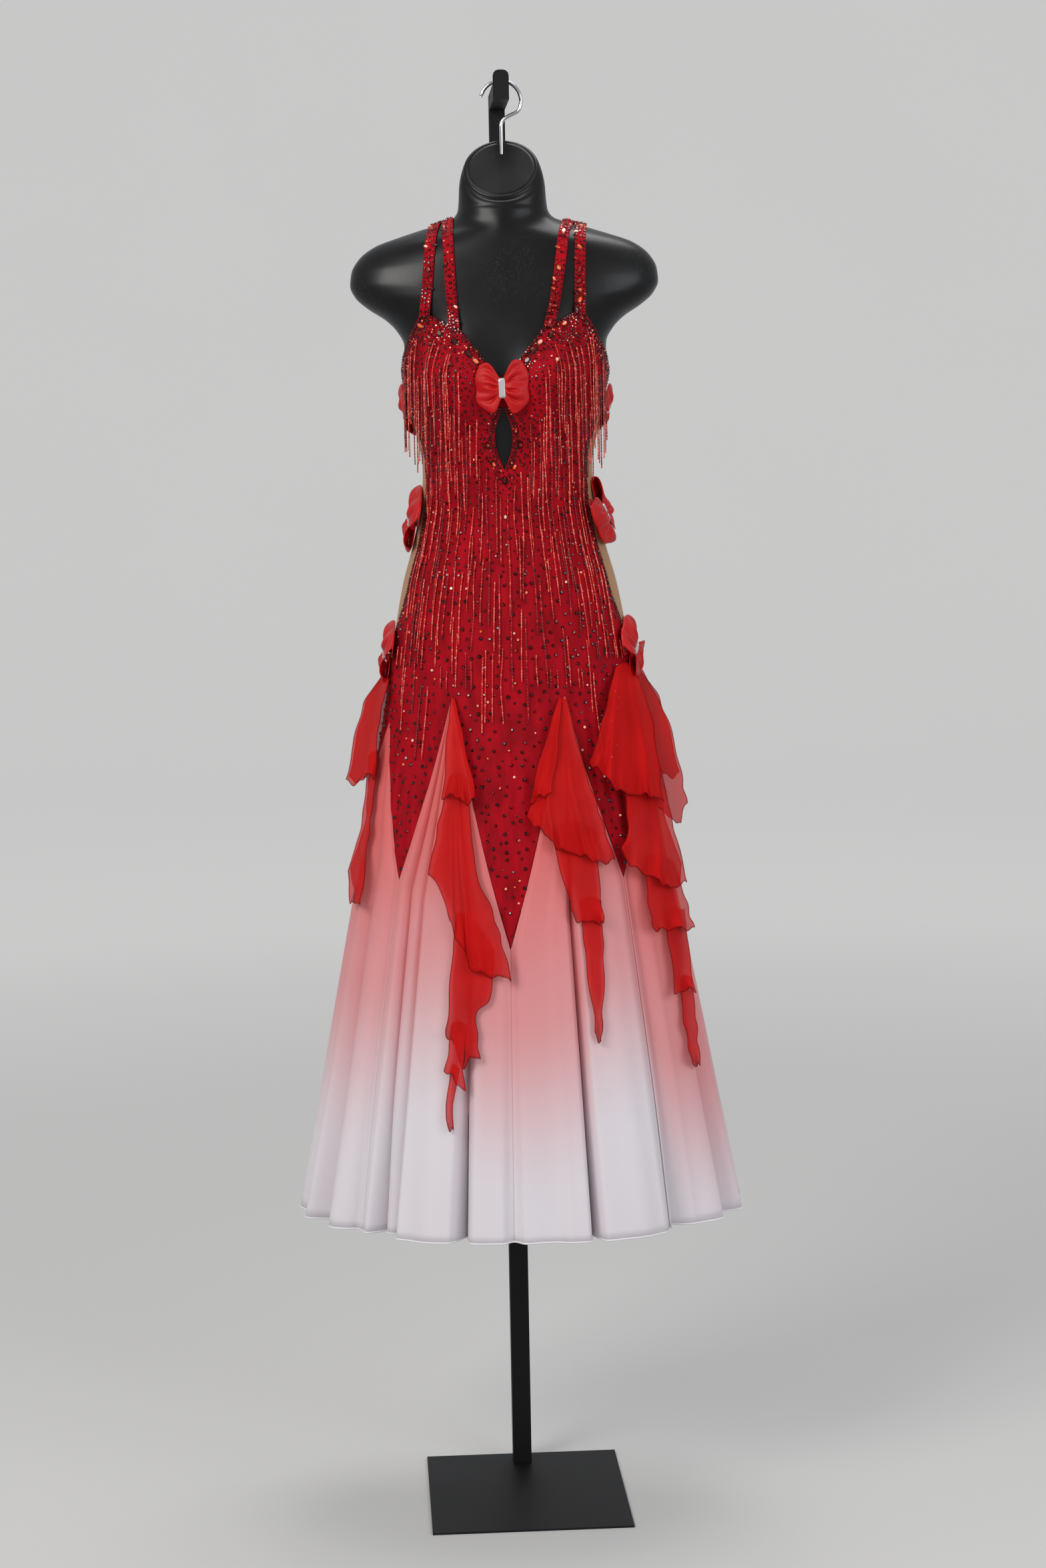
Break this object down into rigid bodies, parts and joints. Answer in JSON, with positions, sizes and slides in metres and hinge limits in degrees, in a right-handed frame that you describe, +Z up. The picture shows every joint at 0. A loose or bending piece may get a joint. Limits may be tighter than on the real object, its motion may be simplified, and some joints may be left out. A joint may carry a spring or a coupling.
{
  "type": "ballroom dance dress on a torso form and stand",
  "caption": "Beaded red ballroom dance dress with keyhole, satin bows, chiffon cascades and ombre godets, on a black limbless torso form hung from a floor stand.",
  "frame": {"origin": "on the floor below the hook, at the underside of the base plate", "axes": "+Z up, -Y towards the front of the dress, +X to the viewer's right of its front"},
  "size_m": [0.619, 0.3802, 2.01],
  "materials": {
    "beaded_stretch": "matt stretch cloth with sewn stones",
    "nude_mesh": "matt stretch mesh",
    "ombre_satin": "satin, dyed from rose to white",
    "red_chiffon": "sheer chiffon",
    "red_satin": "satin",
    "bugle_beads": "glossy glass beads on thread",
    "crystal": "cut and polished",
    "black_plastic": "gloss",
    "hook_chrome": "polished",
    "coated_steel": "matt powder coat"
  },
  "bodies": {
    "root": {"front_panel": "beaded_stretch", "back_panel": "beaded_stretch", "side_panel_left": "nude_mesh", "side_panel_right": "nude_mesh", "godet_front_left": "ombre_satin", "godet_front_right": "ombre_satin", "godet_side_left": "ombre_satin", "godet_side_right": "ombre_satin", "godet_rear_left": "ombre_satin", "godet_rear_right": "ombre_satin", "godet_back_left": "ombre_satin", "godet_back_right": "ombre_satin", "cascade_front_left": "red_chiffon", "cascade_front_right": "red_chiffon", "cascade_side_left": "red_chiffon", "cascade_side_right": "red_chiffon", "cascade_rear_left": "red_chiffon", "cascade_rear_right": "red_chiffon", "cascade_back_left": "red_chiffon", "cascade_back_right": "red_chiffon", "bow_front": "red_satin", "bow_underarm_left": "red_satin", "bow_underarm_right": "red_satin", "bow_waist_left": "red_satin", "bow_waist_right": "red_satin", "bow_hip_left": "red_satin", "bow_hip_right": "red_satin", "crystal_front": "crystal", "crystal_underarm_left": "crystal", "crystal_underarm_right": "crystal", "crystal_waist_left": "crystal", "crystal_waist_right": "crystal", "crystal_hip_left": "crystal", "crystal_hip_right": "crystal", "strap_left_outer": "beaded_stretch", "strap_left_inner": "beaded_stretch", "strap_right_inner": "beaded_stretch", "strap_right_outer": "beaded_stretch", "fringe_bust_left": "bugle_beads", "fringe_bust_right": "bugle_beads", "fringe_underbust_left": "bugle_beads", "fringe_underbust_right": "bugle_beads", "fringe_waist": "bugle_beads", "fringe_high_hip": "bugle_beads", "fringe_hip": "bugle_beads", "torso_form": "black_plastic", "hook": "hook_chrome", "base_plate": "coated_steel", "lower_post": "coated_steel", "upper_post": "coated_steel", "top_arm": "coated_steel"}
  },
  "joints": []
}
